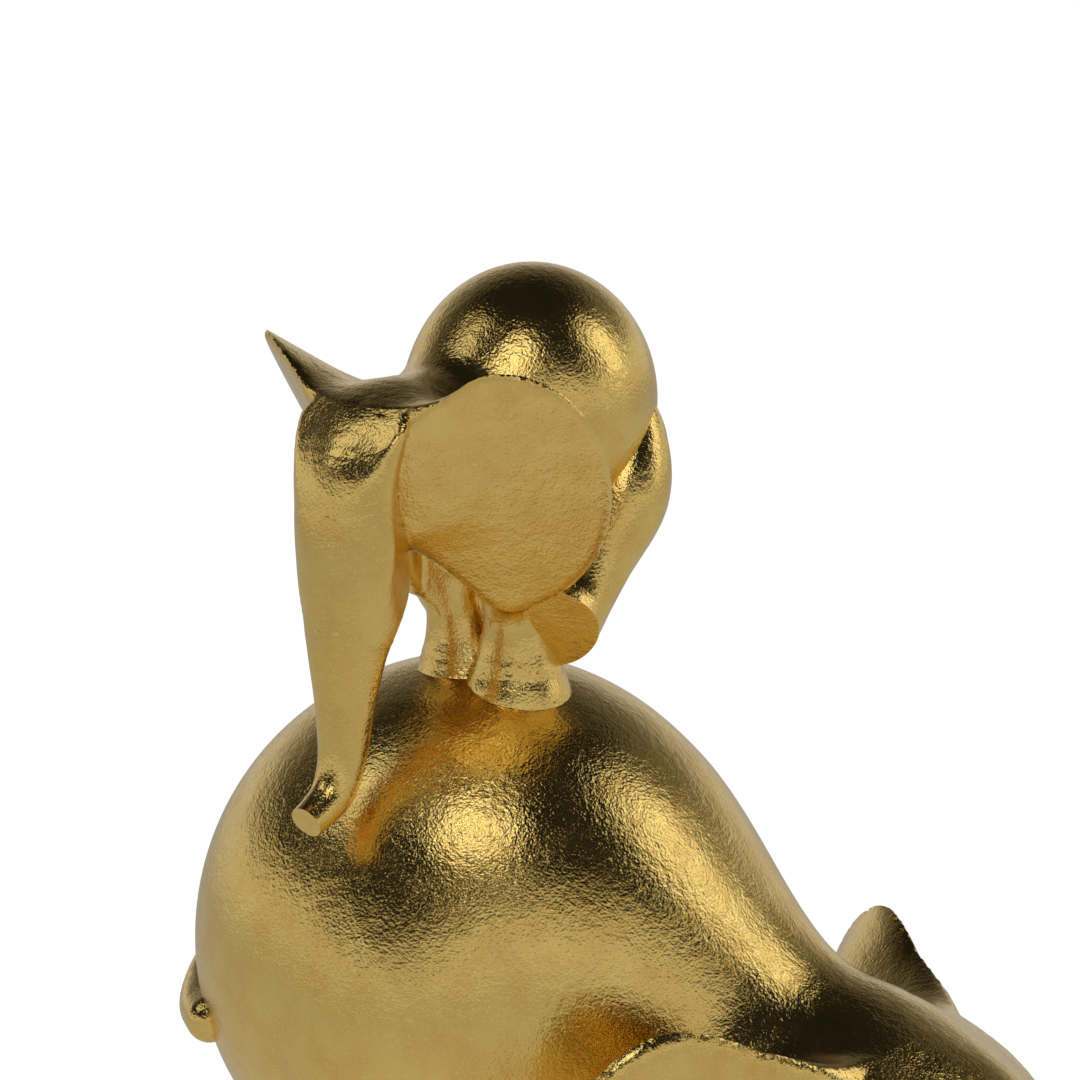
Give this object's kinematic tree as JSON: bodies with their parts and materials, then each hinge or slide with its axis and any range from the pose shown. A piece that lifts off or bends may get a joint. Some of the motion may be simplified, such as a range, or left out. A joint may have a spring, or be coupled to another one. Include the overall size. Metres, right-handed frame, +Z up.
{
  "type": "elephant figurine",
  "caption": "Gilded figurine of a small round elephant standing on the back of a large one, both with disc ears and hanging trunks; stands on felt pads.",
  "frame": {"origin": "middle of the bounding box's underside, level with the surface that the felt pads stand on", "axes": "+X is the way the large elephant faces, +Y is its left, +Z is up"},
  "size_m": [0.2088, 0.1626, 0.2657],
  "materials": {
    "gilt": "cast resin with a glossy, finely grained gold plating",
    "steel": "plain drawn steel pins, hidden in the glue joints",
    "felt": "dense brown felt"
  },
  "bodies": {
    "root": {"large_body": "gilt", "large_head": "gilt", "large_ear_left": "gilt", "large_ear_right": "gilt", "large_tail": "gilt", "small_body": "gilt", "small_head": "gilt", "small_ear_left": "gilt", "small_ear_right": "gilt", "small_hind_leg_left": "gilt", "small_hind_leg_right": "gilt", "small_tail": "gilt", "large_neck_dowel": "steel", "small_neck_dowel": "steel", "large_ear_pin_left": "steel", "large_ear_pin_right": "steel", "small_ear_pin_left": "steel", "small_ear_pin_right": "steel", "small_hip_pin_left": "steel", "small_hip_pin_right": "steel", "small_foot_dowel_left": "steel", "small_foot_dowel_right": "steel", "hind_pad_left": "felt", "hind_pad_right": "felt", "fore_pad_left": "felt", "fore_pad_right": "felt"}
  },
  "joints": []
}
